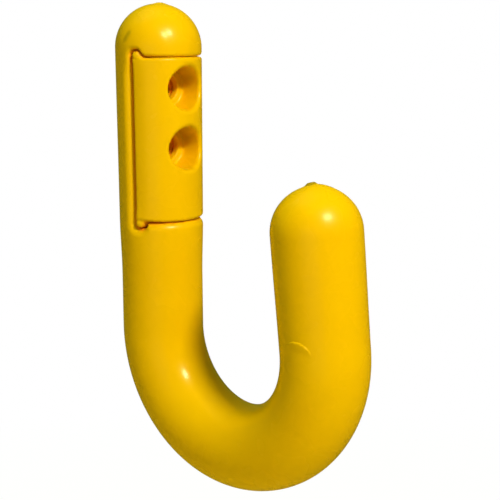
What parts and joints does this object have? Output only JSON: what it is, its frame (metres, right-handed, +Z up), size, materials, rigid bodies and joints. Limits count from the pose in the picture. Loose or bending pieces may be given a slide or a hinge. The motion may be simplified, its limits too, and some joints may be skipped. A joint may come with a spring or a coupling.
{
  "type": "coat hook",
  "caption": "Thick round J-shaped coat hook with domed tips; a block keyed flush into the front of its stem takes the wall screws.",
  "frame": {"origin": "on the wall plane, midway between the two screw holes", "axes": "+Z up the wall, +Y into the wall, the hook stands out towards -Y, X across the hook"},
  "size_m": [0.025, 0.0857, 0.1416],
  "materials": {
    "body_plastic": "through-coloured yellow moulding, satin gloss",
    "block_plastic": "through-coloured yellow moulding, satin gloss, same resin as the body"
  },
  "bodies": {
    "root": {"hook_body": "body_plastic", "fixing_block": "block_plastic"}
  },
  "joints": []
}
